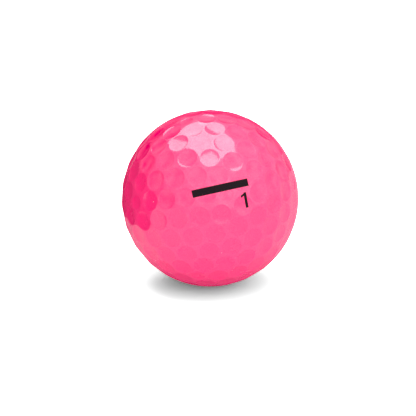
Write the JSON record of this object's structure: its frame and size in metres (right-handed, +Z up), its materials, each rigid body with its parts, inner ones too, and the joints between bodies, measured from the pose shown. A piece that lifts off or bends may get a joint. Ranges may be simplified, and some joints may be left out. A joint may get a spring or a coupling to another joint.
{
  "type": "golf ball",
  "caption": "Dimpled golf ball: a solid rubber core inside a mantle and a glossy dimpled cover, each moulded as two cups, with a plain bar and a number 1 printed at each pole.",
  "frame": {"origin": "centre of the ball", "axes": "+Z up as the ball lies, -Y the side that the front pole and its print face, +X to the right seen from there"},
  "size_m": [0.0426, 0.0426, 0.0426],
  "materials": {
    "core_rubber": "matte moulded rubber, hidden inside",
    "mantle_resin": "satin moulded resin, hidden inside",
    "cover_paint": "glossy hot pink paint under clear coat",
    "print_ink": "black printed ink under clear coat"
  },
  "bodies": {
    "root": {"core": "core_rubber", "mantle_front": "mantle_resin", "mantle_back": "mantle_resin", "cover_front": "cover_paint", "cover_back": "cover_paint", "aiming_bar_front": "print_ink", "aiming_bar_back": "print_ink", "play_number_front": "print_ink", "play_number_back": "print_ink"}
  },
  "joints": []
}
